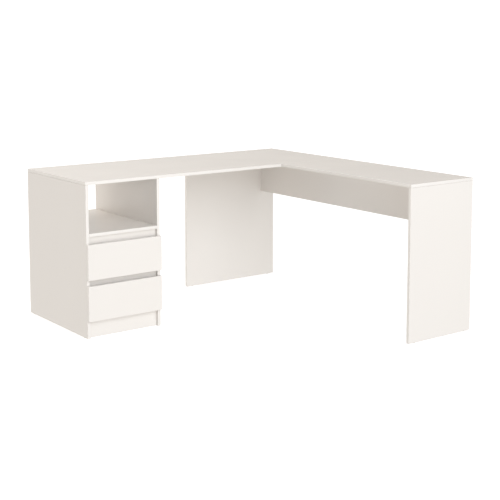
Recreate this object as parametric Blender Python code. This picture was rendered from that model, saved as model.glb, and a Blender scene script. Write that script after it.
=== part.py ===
"""Corner desk of melamine-faced board: a main top, a wing, and a pedestal with a niche and two drawers.

+X runs along the main top from the pedestal to the wing, +Y points from the user's side to the wall
behind the main top, and +Z is up. The origin lies on the floor under the middle of the desk.
Lengths are in metres. Pieces that touch keep a gap of TOUCH between their faces.
"""

from math import pi

import bmesh
import bpy
from mathutils import Matrix, Vector

# Overall sizes
HEIGHT = 0.750  # floor to the upper face of both tops
MAIN_LENGTH = 1.570  # main top, along X
MAIN_DEPTH = 0.617  # main top, along Y
WING_REACH = 0.958  # wing top, along Y, in front of the main top
WING_DEPTH = 0.413  # wing top, along X
BOARD = 0.015  # melamine-faced board of every panel
TOUCH = 0.0003  # gap between pieces that touch

# Pedestal
PEDESTAL_WIDTH = 0.403  # over both side panels
NICHE_HEIGHT = 0.2305  # clear height of the open niche
BASE_HEIGHT = 0.0865  # floor to the lower drawer front
RAIL_RECESS = 0.015  # rails and plinth behind the side panels' front edges
RAIL_LAP = 0.016  # how far a rail reaches behind a drawer front

# Wing
WING_RAIL_HEIGHT = 0.229
WING_RAIL_SETBACK = 0.077  # rail's outer face from the wing's outer edge

# Drawers
DRAWER_COUNT = 2
FRONT_GAP = 0.028  # finger gap between two fronts
TOP_GAP = 0.035  # finger gap between the shelf and the upper front
FRONT_CLEARANCE = 0.001  # closed front to the side panels' front edges
BOX_BOARD = 0.012
BOX_LENGTH = 0.450
BOX_RISE = 0.020  # box floor line above the front's lower edge
BOX_DROP = 0.030  # box rim below the front's upper edge
FLOOR_BOARD = 0.003
FLOOR_RISE = 0.012  # groove above the box's lower edge
GROOVE_DEPTH = 0.006

# Telescopic slides
SLIDE_LENGTH = 0.450
SLIDE_THICKNESS = 0.0127
SLIDE_HEIGHT = 0.045
SLIDE_STEEL = 0.0012
SLIDE_SETBACK = 0.003
BALL_GAP = 0.0029  # room for a row of balls between two members' flanges
MIDDLE_WEB = 0.0032  # middle member's web from the wall, across the slide
MIDDLE_REACH = 0.0110
CABINET_REACH = 0.0095
DRAWER_MEMBER_REACH = 0.0067  # drawer member's flanges, from its web's outer face

# Cam fasteners, joining plates and glides
CAM_RADIUS = 0.0075
CAM_DEPTH = 0.0125
CAM_REACH = 0.052  # cam's centre from the edge that it pulls against
CAM_INSET = 0.052  # cam's centre from the edges beside it
PLATE_LENGTH = 0.100
PLATE_WIDTH = 0.040
PLATE_STEEL = 0.002
PLATE_HOLE_RADIUS = 0.0025
PLATE_HOLE_PITCH = 0.026
GLIDE_RADIUS = 0.007
GLIDE_HEIGHT = 0.003
GLIDE_INSET = 0.040  # glide's centre from the panel's vertical edges
ROUND_SIDES = 24

# Planes that the pieces share
LEFT = -MAIN_LENGTH / 2
RIGHT = MAIN_LENGTH / 2
REAR = (MAIN_DEPTH + WING_REACH) / 2
FRONT = REAR - MAIN_DEPTH
WING_END = FRONT - WING_REACH
WING_INNER = RIGHT - WING_DEPTH
UNDERSIDE = HEIGHT - BOARD
PANEL_FOOT = GLIDE_HEIGHT + TOUCH
PANEL_HEAD = UNDERSIDE - TOUCH
BAY_LEFT = LEFT + BOARD
BAY_RIGHT = LEFT + PEDESTAL_WIDTH - BOARD
BAY = (BAY_LEFT + TOUCH, BAY_RIGHT - TOUCH)
SHELF_TOP = UNDERSIDE - NICHE_HEIGHT
SHELF_UNDER = SHELF_TOP - BOARD
RAIL_FACE = FRONT + RAIL_RECESS
BACK_FACE = REAR - BOARD
CORNER_LEFT = RIGHT - MAIN_DEPTH
WING_RAIL_OUTER = RIGHT - WING_RAIL_SETBACK
WING_RAIL_INNER = WING_RAIL_OUTER - BOARD

# Drawer sizes that follow from the pedestal
STACK_TOP = SHELF_UNDER - TOP_GAP
FRONT_HEIGHT = (STACK_TOP - BASE_HEIGHT - (DRAWER_COUNT - 1) * FRONT_GAP) / DRAWER_COUNT
FRONT_BACK = FRONT - FRONT_CLEARANCE
BOX_START = FRONT_BACK + TOUCH
BOX_END = BOX_START + BOX_LENGTH
SLIDE_ROOM = SLIDE_THICKNESS + 2 * TOUCH
BOX_LEFT = BAY_LEFT + SLIDE_ROOM
BOX_RIGHT = BAY_RIGHT - SLIDE_ROOM
GROOVE_HEIGHT = FLOOR_BOARD + 2 * TOUCH


def make_material(name, colour, roughness, metallic=0.0):
    material = bpy.data.materials.new(name)
    material.use_nodes = True
    shader = material.node_tree.nodes["Principled BSDF"]
    shader.inputs["Base Color"].default_value = (*colour, 1.0)
    shader.inputs["Roughness"].default_value = roughness
    shader.inputs["Metallic"].default_value = metallic
    material.diffuse_color = (*colour, 1.0)
    return material


def make_materials():
    """Each material of the desk, by the name of what it is used for."""
    return {
        "panel": make_material("white_melamine", (0.84, 0.81, 0.78), 0.38),
        "drawer": make_material("drawer_foil", (0.80, 0.79, 0.77), 0.45),
        "hardboard": make_material("white_hardboard", (0.76, 0.75, 0.72), 0.55),
        "steel": make_material("zinc_plated_steel", (0.62, 0.63, 0.64), 0.30, 1.0),
        "cam": make_material("cam_zinc", (0.70, 0.70, 0.69), 0.40, 1.0),
        "glide": make_material("glide_plastic", (0.82, 0.81, 0.78), 0.50),
    }


def middle(span):
    return (span[0] + span[1]) / 2


def add_piece(name, bm, centre, material, parent=None):
    """An object from a mesh built around the origin, placed at a centre in the desk's frame."""
    mesh = bpy.data.meshes.new(name)
    bmesh.ops.recalc_face_normals(bm, faces=bm.faces)
    bm.to_mesh(mesh)
    bm.free()
    mesh.materials.append(material)
    piece = bpy.data.objects.new(name, mesh)
    bpy.context.collection.objects.link(piece)
    piece.location = Vector(centre)
    if parent is not None:
        piece.parent = parent
        piece.location -= parent.location
    return piece


def add_board(name, x, y, z, material, parent=None):
    """A board that fills the given spans."""
    bm = bmesh.new()
    bmesh.ops.create_cube(bm, size=1.0)
    sizes = [span[1] - span[0] for span in (x, y, z)]
    bmesh.ops.scale(bm, vec=sizes, verts=bm.verts)
    return add_piece(name, bm, (middle(x), middle(y), middle(z)), material, parent)


def add_section(name, outline, y, material, parent=None):
    """A closed outline in the XZ plane, extruded over the span y."""
    bm = bmesh.new()
    corners = [bm.verts.new((x, y[0], z)) for x, z in outline]
    face = bm.faces.new(corners)
    grown = bmesh.ops.extrude_face_region(bm, geom=[face])["geom"]
    moved = [item for item in grown if isinstance(item, bmesh.types.BMVert)]
    bmesh.ops.translate(bm, vec=(0, y[1] - y[0], 0), verts=moved)
    centre = Vector((outline[0][0], middle(y), outline[0][1]))
    bmesh.ops.translate(bm, vec=-centre, verts=bm.verts)
    return add_piece(name, bm, centre, material, parent)


def cylinder_mesh(radius, length, axis="Z", centres=((0, 0, 0),)):
    """One cylinder or several, along an axis of the desk."""
    turns = {"X": Matrix.Rotation(pi / 2, 4, "Y"), "Y": Matrix.Rotation(pi / 2, 4, "X"), "Z": Matrix()}
    bm = bmesh.new()
    for centre in centres:
        bmesh.ops.create_cone(
            bm,
            cap_ends=True,
            segments=ROUND_SIDES,
            radius1=radius,
            radius2=radius,
            depth=length,
            matrix=Matrix.Translation(centre) @ turns[axis],
        )
    return bm


def cut_away(piece, name, bm, centre):
    """Cut a mesh out of a piece; the cutter stands at a centre in the desk's frame."""
    cutter = add_piece(name, bm, centre, piece.data.materials[0], piece.parent)
    cutter.display_type = "WIRE"
    cutter.hide_render = True
    cut = piece.modifiers.new(name, "BOOLEAN")
    cut.operation = "DIFFERENCE"
    cut.solver = "EXACT"
    cut.object = cutter


def add_cam(panel, name, centre, axis, inward, material):
    """A cam in a blind bore: centre lies on the panel's face and inward points into the board."""
    inward = Vector(inward)
    bore_length = CAM_DEPTH + BOARD
    bore = cylinder_mesh(CAM_RADIUS, bore_length, axis)
    bore_centre = Vector(centre) + inward * (CAM_DEPTH - bore_length / 2)
    cut_away(panel, f"{name}_bore", bore, bore_centre)
    body_length = CAM_DEPTH - TOUCH
    body = cylinder_mesh(CAM_RADIUS - TOUCH, body_length, axis)
    add_piece(name, body, Vector(centre) + inward * (body_length / 2), material)


def build_tops(materials):
    tops = (UNDERSIDE, HEIGHT)
    add_board("main_top", (LEFT, RIGHT), (FRONT, REAR), tops, materials["panel"])
    add_board("wing_top", (WING_INNER, RIGHT), (WING_END, FRONT - TOUCH), tops, materials["panel"])


def build_pedestal(materials):
    """Side panels, shelf, rails, plinth, bottom and back around the niche and the drawers."""
    panel = materials["panel"]
    full_height = (PANEL_FOOT, PANEL_HEAD)
    depth = (FRONT, REAR)
    left = add_board("pedestal_left_side", (LEFT, BAY_LEFT), depth, full_height, panel)
    right_span = (BAY_RIGHT, BAY_RIGHT + BOARD)
    right = add_board("pedestal_right_side", right_span, depth, full_height, panel)
    add_board("niche_shelf", BAY, depth, (SHELF_UNDER, SHELF_TOP), panel)
    bottom_top = BASE_HEIGHT + BOARD
    add_board("pedestal_bottom", BAY, depth, (BASE_HEIGHT, bottom_top), panel)
    back_height = (bottom_top + TOUCH, SHELF_UNDER - TOUCH)
    add_board("pedestal_back", BAY, (BACK_FACE, REAR), back_height, panel)
    add_board("plinth", BAY, (RAIL_FACE, RAIL_FACE + BOARD), (PANEL_FOOT, BASE_HEIGHT - TOUCH), panel)
    for number in range(1, DRAWER_COUNT + 1):
        low = front_span(number)[1] - RAIL_LAP
        high = SHELF_UNDER - TOUCH if number == 1 else front_span(number - 1)[0] + RAIL_LAP
        add_board(f"drawer_rail_{number}", BAY, (RAIL_FACE, RAIL_FACE + BOARD), (low, high), panel)
    cam_height = PANEL_HEAD - CAM_REACH
    for side, board, x, inward in (("left", left, BAY_LEFT, -1), ("right", right, BAY_RIGHT, 1)):
        for end, y in (("front", FRONT + CAM_INSET), ("rear", REAR - CAM_INSET)):
            name = f"cam_{side}_side_{end}"
            add_cam(board, name, (x, y, cam_height), "X", (inward, 0, 0), materials["cam"])


def build_wing_and_corner(materials):
    """The corner panel, the wing's end panel and the rail between them."""
    panel = materials["panel"]
    full_height = (PANEL_FOOT, PANEL_HEAD)
    corner = add_board("corner_panel", (CORNER_LEFT, RIGHT), (BACK_FACE, REAR), full_height, panel)
    end_inner = WING_END + BOARD
    end = add_board("end_panel", (WING_INNER, RIGHT), (WING_END, end_inner), full_height, panel)
    rail_length = (end_inner + TOUCH, BACK_FACE - TOUCH)
    rail_height = (UNDERSIDE - WING_RAIL_HEIGHT, PANEL_HEAD)
    rail_x = (WING_RAIL_INNER, WING_RAIL_OUTER)
    rail = add_board("wing_rail", rail_x, rail_length, rail_height, panel)
    cam_height = PANEL_HEAD - CAM_REACH
    for where, board, left_edge, y, inward in (
        ("corner_panel", corner, CORNER_LEFT, BACK_FACE, 1),
        ("end_panel", end, WING_INNER, end_inner, -1),
    ):
        for side, x in (("left", left_edge + CAM_INSET), ("right", RIGHT - CAM_INSET)):
            name = f"cam_{where}_{side}"
            add_cam(board, name, (x, y, cam_height), "Y", (0, inward, 0), materials["cam"])
    for end, y in (("near", rail_length[0] + CAM_REACH), ("far", rail_length[1] - CAM_REACH)):
        for level, z in (("lower", rail_height[0] + CAM_INSET), ("upper", rail_height[1] - CAM_INSET)):
            name = f"cam_wing_rail_{end}_{level}"
            add_cam(rail, name, (WING_RAIL_OUTER, y, z), "X", (-1, 0, 0), materials["cam"])


def front_span(number):
    """Height span of a drawer front, counted from the top."""
    high = STACK_TOP - (number - 1) * (FRONT_HEIGHT + FRONT_GAP)
    return (high - FRONT_HEIGHT, high)


def build_drawer(number, materials):
    """A drawer box behind its front; all its pieces hang on one empty that slides along -Y."""
    z_low, z_high = front_span(number)
    box = (z_low + BOX_RISE, z_high - BOX_DROP)
    carriage = bpy.data.objects.new(f"drawer_{number}_carriage", None)
    carriage.location = (middle(BAY), FRONT_BACK, middle(box))
    bpy.context.collection.objects.link(carriage)
    front_x = (LEFT, LEFT + PEDESTAL_WIDTH)
    front_y = (FRONT_BACK - BOARD, FRONT_BACK)
    front = add_board(
        f"drawer_{number}_front", front_x, front_y, (z_low, z_high), materials["panel"], carriage
    )
    groove = (box[0] + FLOOR_RISE, box[0] + FLOOR_RISE + GROOVE_HEIGHT)
    inner_left = BOX_LEFT + BOX_BOARD
    inner_right = BOX_RIGHT - BOX_BOARD
    for side, outer, inner, inward in (
        ("left", BOX_LEFT, inner_left, 1),
        ("right", BOX_RIGHT, inner_right, -1),
    ):
        bed = inner - inward * GROOVE_DEPTH
        outline = [(outer, box[0]), (inner, box[0]), (inner, groove[0]), (bed, groove[0])]
        outline += [(bed, groove[1]), (inner, groove[1]), (inner, box[1]), (outer, box[1])]
        name = f"drawer_{number}_{side}_side"
        add_section(name, outline, (BOX_START, BOX_END), materials["drawer"], carriage)
    floor_reach = GROOVE_DEPTH - TOUCH
    floor_x = (inner_left - floor_reach, inner_right + floor_reach)
    floor_z = (groove[0] + TOUCH, groove[1] - TOUCH)
    floor_y = (FRONT_BACK - floor_reach, BOX_END)
    add_board(f"drawer_{number}_floor", floor_x, floor_y, floor_z, materials["hardboard"], carriage)
    back_x = (inner_left + TOUCH, inner_right - TOUCH)
    back_y = (BOX_END - BOX_BOARD, BOX_END)
    back_z = (groove[1], box[1])
    add_board(f"drawer_{number}_back", back_x, back_y, back_z, materials["drawer"], carriage)
    cut_front_groove(front, number, floor_x, groove)
    return carriage, middle(box)


def cut_front_groove(front, number, floor_x, groove):
    """The groove in the front's rear face that holds the drawer floor's front edge."""
    length = floor_x[1] - floor_x[0] + 2 * TOUCH
    bm = bmesh.new()
    bmesh.ops.create_cube(bm, size=1.0)
    bmesh.ops.scale(bm, vec=(length, 2 * GROOVE_DEPTH, groove[1] - groove[0]), verts=bm.verts)
    cut_away(front, f"drawer_{number}_groove", bm, (middle(floor_x), FRONT_BACK, middle(groove)))


def channel_outline(wall, inward, web, reach, height, z):
    """A C section in XZ: its web's outer face and its flanges' ends, measured from the wall."""
    turned = 1 if reach > web else -1
    back = wall + inward * web
    inner = back + inward * turned * SLIDE_STEEL
    tip = wall + inward * reach
    top = z + height / 2
    bottom = z - height / 2
    return [
        (back, bottom),
        (tip, bottom),
        (tip, bottom + SLIDE_STEEL),
        (inner, bottom + SLIDE_STEEL),
        (inner, top - SLIDE_STEEL),
        (tip, top - SLIDE_STEEL),
        (tip, top),
        (back, top),
    ]


def build_slides(number, carriage, z, steel):
    """Three nested members on each side: on the cabinet, between, and on the drawer."""
    telescope = bpy.data.objects.new(f"drawer_{number}_telescope", None)
    telescope.location = carriage.location
    bpy.context.collection.objects.link(telescope)
    y = (FRONT + SLIDE_SETBACK, FRONT + SLIDE_SETBACK + SLIDE_LENGTH)
    middle_height = SLIDE_HEIGHT - 2 * (SLIDE_STEEL + BALL_GAP)
    inner_height = middle_height - 2 * (SLIDE_STEEL + BALL_GAP)
    drawer_tip = SLIDE_THICKNESS - DRAWER_MEMBER_REACH
    members = (
        ("cabinet_member", 0.0, CABINET_REACH, SLIDE_HEIGHT, None),
        ("middle_member", MIDDLE_WEB, MIDDLE_REACH, middle_height, telescope),
        ("drawer_member", SLIDE_THICKNESS, drawer_tip, inner_height, carriage),
    )
    for side, face, inward in (("left", BAY_LEFT, 1), ("right", BAY_RIGHT, -1)):
        wall = face + inward * TOUCH
        for member, web, reach, height, parent in members:
            outline = channel_outline(wall, inward, web, reach, height, z)
            add_section(f"slide_{number}_{side}_{member}", outline, y, steel, parent)


def build_joining_plates(steel):
    """Drilled steel plates under the joint between the two tops, on both sides of the wing rail."""
    inner_width = WING_RAIL_INNER - WING_INNER
    places = (
        WING_INNER + inner_width / 4,
        WING_INNER + inner_width * 3 / 4,
        middle((WING_RAIL_OUTER, RIGHT)),
    )
    for number, x in enumerate(places, start=1):
        along = (FRONT - PLATE_LENGTH / 2, FRONT + PLATE_LENGTH / 2)
        across = (x - PLATE_WIDTH / 2, x + PLATE_WIDTH / 2)
        upper = UNDERSIDE - TOUCH
        name = f"joining_plate_{number}"
        plate = add_board(name, across, along, (upper - PLATE_STEEL, upper), steel)
        holes = [(0, PLATE_HOLE_PITCH * step, 0) for step in (-1.5, -0.5, 0.5, 1.5)]
        bm = cylinder_mesh(PLATE_HOLE_RADIUS, 4 * PLATE_STEEL, "Z", holes)
        cut_away(plate, f"{name}_holes", bm, (x, FRONT, upper - PLATE_STEEL / 2))


def build_glides(plastic):
    """Two nailed glides under each standing panel."""
    feet = (
        ("left_side", "Y", middle((LEFT, BAY_LEFT)), (FRONT, REAR)),
        ("right_side", "Y", BAY_RIGHT + BOARD / 2, (FRONT, REAR)),
        ("corner_panel", "X", middle((BACK_FACE, REAR)), (CORNER_LEFT, RIGHT)),
        ("end_panel", "X", WING_END + BOARD / 2, (WING_INNER, RIGHT)),
    )
    for where, runs, across, span in feet:
        for number, along in enumerate((span[0] + GLIDE_INSET, span[1] - GLIDE_INSET), start=1):
            x, y = (along, across) if runs == "X" else (across, along)
            glide = cylinder_mesh(GLIDE_RADIUS, GLIDE_HEIGHT)
            add_piece(f"glide_{where}_{number}", glide, (x, y, GLIDE_HEIGHT / 2), plastic)


def main():
    for item in list(bpy.data.objects):
        bpy.data.objects.remove(item, do_unlink=True)
    materials = make_materials()
    build_tops(materials)
    build_pedestal(materials)
    build_wing_and_corner(materials)
    for number in range(1, DRAWER_COUNT + 1):
        carriage, slide_height = build_drawer(number, materials)
        build_slides(number, carriage, slide_height, materials["steel"])
    build_joining_plates(materials["steel"])
    build_glides(materials["glide"])


if __name__ == "__main__":
    main()
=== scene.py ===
"""Finished model of a white corner desk: banded boards, drawer boxes, ball-bearing slides and fittings.

Run as a script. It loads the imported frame, builds every piece in the frame's metres and places the stage.
"""

from itertools import product
from math import copysign, cos, pi, radians, sin

import bmesh
import bpy
from bpy.props import FloatProperty, FloatVectorProperty, IntProperty, PointerProperty
from mathutils import Matrix, Vector


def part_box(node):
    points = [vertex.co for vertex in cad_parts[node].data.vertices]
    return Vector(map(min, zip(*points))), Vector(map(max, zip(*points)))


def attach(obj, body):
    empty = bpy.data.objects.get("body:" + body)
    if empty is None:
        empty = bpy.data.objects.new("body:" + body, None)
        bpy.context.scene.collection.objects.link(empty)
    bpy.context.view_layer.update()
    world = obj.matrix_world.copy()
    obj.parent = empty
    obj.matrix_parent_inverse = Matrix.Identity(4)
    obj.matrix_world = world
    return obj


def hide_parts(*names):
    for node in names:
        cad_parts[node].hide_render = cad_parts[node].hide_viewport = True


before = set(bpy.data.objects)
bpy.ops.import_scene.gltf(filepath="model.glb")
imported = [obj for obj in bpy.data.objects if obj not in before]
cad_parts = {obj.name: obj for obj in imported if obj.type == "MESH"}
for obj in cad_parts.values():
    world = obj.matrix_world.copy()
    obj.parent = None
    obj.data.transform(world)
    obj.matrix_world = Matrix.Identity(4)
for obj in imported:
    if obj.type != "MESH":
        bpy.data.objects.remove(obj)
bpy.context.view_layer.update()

bl_info = {
    "name": "White corner desk",
    "version": (1, 0, 0),
    "blender": (4, 5, 0),
    "location": "3D View > Sidebar > Desk",
    "description": "Builds the boards, drawers, slides and fittings of a corner desk",
    "category": "Object",
}

NEAR = 1e-5  # two coordinates closer than this are the same plane
FRAME_BODY = "desk_frame"
DRAWERS = (1, 2)
INWARD = {"left": 1, "right": -1}  # the way along X from each side of a drawer to its middle

# Each board: the axis of its thickness and its banded edges, in the order that they are glued on.
BOARDS = {
    "main_top": ("z", "-x +x -y +y"),
    "wing_top": ("z", "-x +x -y"),
    "pedestal_left_side": ("x", "-y +y"),
    "pedestal_right_side": ("x", "-y +y"),
    "niche_shelf": ("z", "-y +y"),
    "pedestal_bottom": ("z", "-y +y"),
    "pedestal_back": ("y", ""),
    "plinth": ("y", "-z"),
    "drawer_rail_1": ("y", "-z"),
    "drawer_rail_2": ("y", "-z +z"),
    "corner_panel": ("y", "-x +x"),
    "end_panel": ("y", "-x +x"),
    "wing_rail": ("x", "-z"),
}

# The way that each cam's open end faces.
CAM_FACING = {
    "left_side": (1, 0, 0),
    "right_side": (-1, 0, 0),
    "corner_panel": (0, -1, 0),
    "end_panel": (0, 1, 0),
    "wing_rail": (1, 0, 0),
}
BARE_CAMS = "wing_rail"  # the cams on the rail's hidden face have no cover caps


def length(name, description, default, **more):
    return FloatProperty(
        name=name, description=description, default=default, min=0.0, unit="LENGTH", precision=5, **more
    )


def colour(name, description, default):
    return FloatVectorProperty(
        name=name, description=description, default=default, min=0.0, max=1.0, size=3, subtype="COLOR"
    )


class DeskSizes(bpy.types.PropertyGroup):
    """Sizes of the details that the CAD frame doesn't hold."""

    band: length("Edge band", "Thickness of the edge bands", 0.0006)
    band_radius: length("Band rounding", "Rounding of a band's outer edges", 0.0004)
    chamfer: length("Board chamfer", "Broken edge of a board under its band", 0.00008)
    glue: length("Glue line", "Gap between a board and its band", 0.00002)
    side_rounding: length("Drawer side rounding", "Radius along a drawer side's upper edge", 0.0022)
    steel: length("Slide steel", "Thickness of the slides' members", 0.0012)
    bend: length("Slide bend", "Bend between a member's web and its flanges", 0.0018)
    cage: length("Cage steel", "Thickness of the ball cages", 0.0004)
    ball_radius: length("Ball radius", "Radius of a slide's balls", 0.00142)
    ball_pitch: length("Ball pitch", "Distance between two balls of a row", 0.0078)
    balls: IntProperty(name="Balls in a row", description="Balls in each group of a row", default=12, min=1)
    slide_screw: length("Slide screw", "Head diameter of the slides' screws", 0.0064)
    plate_screw: length("Plate screw", "Head diameter of the joining plates' screws", 0.0084)
    box_screw: length("Box screw", "Head diameter of the drawer boxes' screws", 0.0070)
    floor_nail: length("Floor nail", "Head diameter of the nails under a drawer floor", 0.0036)
    cap_radius: length("Cap radius", "Radius of a cam's cover cap", 0.0085)
    cap_height: length("Cap height", "How far a cover cap stands off the board", 0.0009)
    drawer_cam: length("Drawer cam radius", "Radius of the cams inside a drawer box", 0.0060)
    drawer_cam_depth: length("Drawer cam depth", "Depth of a drawer cam's bore", 0.0095)
    drawer_cam_reach: length("Drawer cam reach", "Cam's middle from the drawer front", 0.0240)


class DeskColours(bpy.types.PropertyGroup):
    """Base colours of the finishes."""

    melamine: colour("Melamine", "Warm white board face", (0.862, 0.832, 0.800))
    band: colour("Edge band", "Warm white edge band", (0.885, 0.857, 0.827))
    chip_light: colour("Pale chips", "Lighter chips of raw board", (0.600, 0.440, 0.270))
    chip_dark: colour("Dark chips", "Darker chips of raw board", (0.290, 0.180, 0.095))
    foil: colour("Drawer foil", "White linen foil of the drawer boxes", (0.800, 0.785, 0.755))
    lacquer: colour("Lacquered hardboard", "Upper face of a drawer floor", (0.780, 0.760, 0.725))
    fibre: colour("Hardboard", "Under face of a drawer floor", (0.260, 0.155, 0.080))
    steel: colour("Zinc-plated steel", "Slides and joining plates", (0.660, 0.670, 0.680))
    cam: colour("Cast zinc", "Cam housings", (0.560, 0.560, 0.550))
    ball: colour("Ball steel", "Balls of the slides", (0.780, 0.780, 0.780))
    screw: colour("Screw steel", "Heads of screws and nails", (0.690, 0.680, 0.640))
    nylon: colour("Black nylon", "Release levers and bumpers", (0.022, 0.022, 0.024))
    glide: colour("Polyethylene", "Nailed glides", (0.800, 0.780, 0.720))
    cap: colour("Cap plastic", "Cover caps of the cams", (0.800, 0.765, 0.725))


class DeskStage(bpy.types.PropertyGroup):
    """Floor, lights and camera."""

    floor: length("Floor size", "Side of the square floor", 60.0)
    floor_colour: colour("Floor", "Pale studio floor", (0.400, 0.400, 0.400))
    floor_glow: FloatProperty(name="Floor glow", description="Light the floor adds", default=0.85, min=0.0)
    key: FloatProperty(name="Key light", description="Power of the front light", default=90.0, unit="POWER")
    lens: FloatProperty(name="Lens", description="Focal length in mm", default=79.452, min=1.0)
    shift: FloatProperty(name="Shift", description="Vertical lens shift", default=-0.20)
    pitch: FloatProperty(name="Pitch", description="Camera down", default=radians(6.4232), subtype="ANGLE")
    yaw: FloatProperty(name="Yaw", description="Camera turn", default=radians(36.580), subtype="ANGLE")
    eye: FloatVectorProperty(
        name="Camera place",
        description="Where the camera stands",
        default=(-3.1933, -4.3568, 1.4718),
        size=3,
        subtype="TRANSLATION",
    )


# Shader maths and finishes

BLUE_PASSIVATION = (0.52, 0.60, 0.74, 1.0)
YELLOW_PASSIVATION = (0.70, 0.60, 0.38, 1.0)


class Value:
    """A node's socket that takes part in Python arithmetic; each operation adds one Math node."""

    def __init__(self, tree, socket):
        self.tree = tree
        self.socket = socket

    def join(self, operation, first, second):
        node = self.tree.nodes.new("ShaderNodeMath")
        node.operation = operation
        for place, item in enumerate((first, second)):
            feed(self.tree, node.inputs[place], item)
        return Value(self.tree, node.outputs[0])

    def __add__(self, other):
        return self.join("ADD", self, other)

    def __radd__(self, other):
        return self.join("ADD", other, self)

    def __sub__(self, other):
        return self.join("SUBTRACT", self, other)

    def __rsub__(self, other):
        return self.join("SUBTRACT", other, self)

    def __mul__(self, other):
        return self.join("MULTIPLY", self, other)

    def __rmul__(self, other):
        return self.join("MULTIPLY", other, self)


def feed(tree, socket, item):
    """Link a socket to a Value, or set it to a plain number, vector or colour."""
    if isinstance(item, Value):
        tree.links.new(item.socket, socket)
    else:
        socket.default_value = item


class Graph:
    """A node tree of any kind, which one method fills."""

    def __init__(self, tree):
        self.tree = tree

    def node(self, kind, settings=None, sockets=None, output=0):
        """Any node, from its type, settings and socket values or links; gives one of its outputs."""
        node = self.tree.nodes.new(kind)
        for name, value in (settings or {}).items():
            if name == "stops":
                for stop, (position, tone) in zip(node.color_ramp.elements, value):
                    stop.position = position
                    stop.color = (tone, tone, tone, 1.0)
            else:
                setattr(node, name, value)
        for name, value in (sockets or {}).items():
            feed(self.tree, node.inputs[name], value)
        return Value(self.tree, node.outputs[output])


def rgba(base, scale=1.0):
    return tuple(min(1.0, channel * scale) for channel in base) + (1.0,)


class Finish(Graph):
    """One procedural material, patterned in metres on the piece's object coordinates."""

    def __init__(self, name, ior=1.5):
        self.material = bpy.data.materials.new(name)
        self.material.use_nodes = True
        super().__init__(self.material.node_tree)
        self.shader = self.tree.nodes["Principled BSDF"]
        self.shader.inputs["IOR"].default_value = ior
        self.place = self.node("ShaderNodeTexCoord", output="Object")

    def stretched(self, stretch):
        return self.node("ShaderNodeMapping", sockets={"Vector": self.place, "Scale": stretch})

    def noise(self, grain, stretch=(1, 1, 1), detail=2.0):
        """Soft noise from 0 to 1 with grains of the given size."""
        sockets = {"Vector": self.stretched(stretch), "Scale": 1 / grain, "Detail": detail}
        return self.node("ShaderNodeTexNoise", sockets=sockets)

    def cells(self, grain, stretch=(1, 1, 1), output="Distance"):
        sockets = {"Vector": self.stretched(stretch), "Scale": 1 / grain}
        return self.node("ShaderNodeTexVoronoi", sockets=sockets, output=output)

    def ridges(self, pitch, axis):
        """Even ridges across one axis, from 0 to 1."""
        settings = {"wave_type": "BANDS", "bands_direction": axis, "wave_profile": "SIN"}
        sockets = {"Vector": self.place, "Scale": 0.314 / pitch, "Distortion": 0.6, "Detail": 1.0}
        return self.node("ShaderNodeTexWave", settings, sockets, output="Fac")

    def contrast(self, value, low, high):
        return self.node("ShaderNodeValToRGB", {"stops": ((low, 0.0), (high, 1.0))}, {"Fac": value})

    def mix(self, factor, first, second):
        settings = {"data_type": "RGBA", "blend_type": "MIX"}
        return self.node("ShaderNodeMix", settings, {0: factor, 6: first, 7: second}, output=2)

    def tones(self, factor, base, low, high):
        """A colour that runs from one brightness of itself to another."""
        return self.mix(factor, rgba(base, low), rgba(base, high))

    def glow(self, strength):
        """Give off even white light and reflect no highlights."""
        self.shader.inputs["Specular IOR Level"].default_value = 0.0
        self.shader.inputs["Emission Color"].default_value = (1.0, 1.0, 1.0, 1.0)
        self.shader.inputs["Emission Strength"].default_value = strength

    def cover(self, colour=None, roughness=None, metallic=None, height=None, depth=1e-5, strength=1.0):
        """Join the pattern to the shader and give the material."""
        if height is not None:
            bump = {"Height": height, "Distance": depth, "Strength": strength}
            feed(self.tree, self.shader.inputs["Normal"], self.node("ShaderNodeBump", sockets=bump))
        for socket, value in (("Base Color", colour), ("Roughness", roughness), ("Metallic", metallic)):
            if value is not None:
                feed(self.tree, self.shader.inputs[socket], value)
        return self.material


def satin_melamine(name, colours):
    """Pearl-textured melamine: a nearly even warm white whose fine grain breaks up its gloss."""
    paint = Finish(name)
    clouds = paint.noise(0.28, detail=3.0)
    pearl = paint.noise(0.0011, detail=3.0)
    specks = paint.cells(0.0042)
    tone = 0.62 * clouds + 0.23 * pearl + 0.15 * specks
    shade = paint.tones(tone, colours.melamine, 0.978, 1.014)
    roughness = 0.19 + 0.05 * clouds + 0.06 * pearl
    return paint.cover(shade, roughness, height=pearl + 0.4 * specks, depth=2.2e-5, strength=0.5)


def edge_band(name, colours):
    """Extruded edge band, a little glossier than the faces, with fine draw lines along its length."""
    paint = Finish(name, ior=1.48)
    run = "xyz".index(name[-1])
    stretch = tuple(0.02 if axis == run else 1.0 for axis in range(3))
    lines = paint.noise(0.0007, stretch, detail=3.0)
    scuffs = paint.noise(0.018, detail=4.0)
    shade = paint.tones(0.6 * lines + 0.4 * scuffs, colours.band, 0.975, 1.012)
    roughness = 0.24 + 0.10 * lines + 0.04 * scuffs
    return paint.cover(shade, roughness, height=lines, depth=1.5e-5, strength=0.6)


def raw_chipboard(name, colours):
    """Sawn edge of the board: pressed chips of mixed tones with dark gaps between them."""
    paint = Finish(name, ior=1.45)
    chips = paint.cells(0.0024, (1.0, 1.0, 1.6))
    tones = paint.noise(0.0034, detail=4.0)
    gaps = paint.contrast(chips, 0.30, 0.72)
    tone = 0.72 * tones + 0.28 * (1.0 - chips)
    shade = paint.mix(tone, rgba(colours.chip_dark), rgba(colours.chip_light))
    deep = paint.mix(gaps, shade, rgba(colours.chip_dark, 0.62))
    return paint.cover(deep, 0.82 + 0.12 * gaps, height=tones - 0.6 * chips, depth=2.5e-4, strength=0.8)


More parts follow.
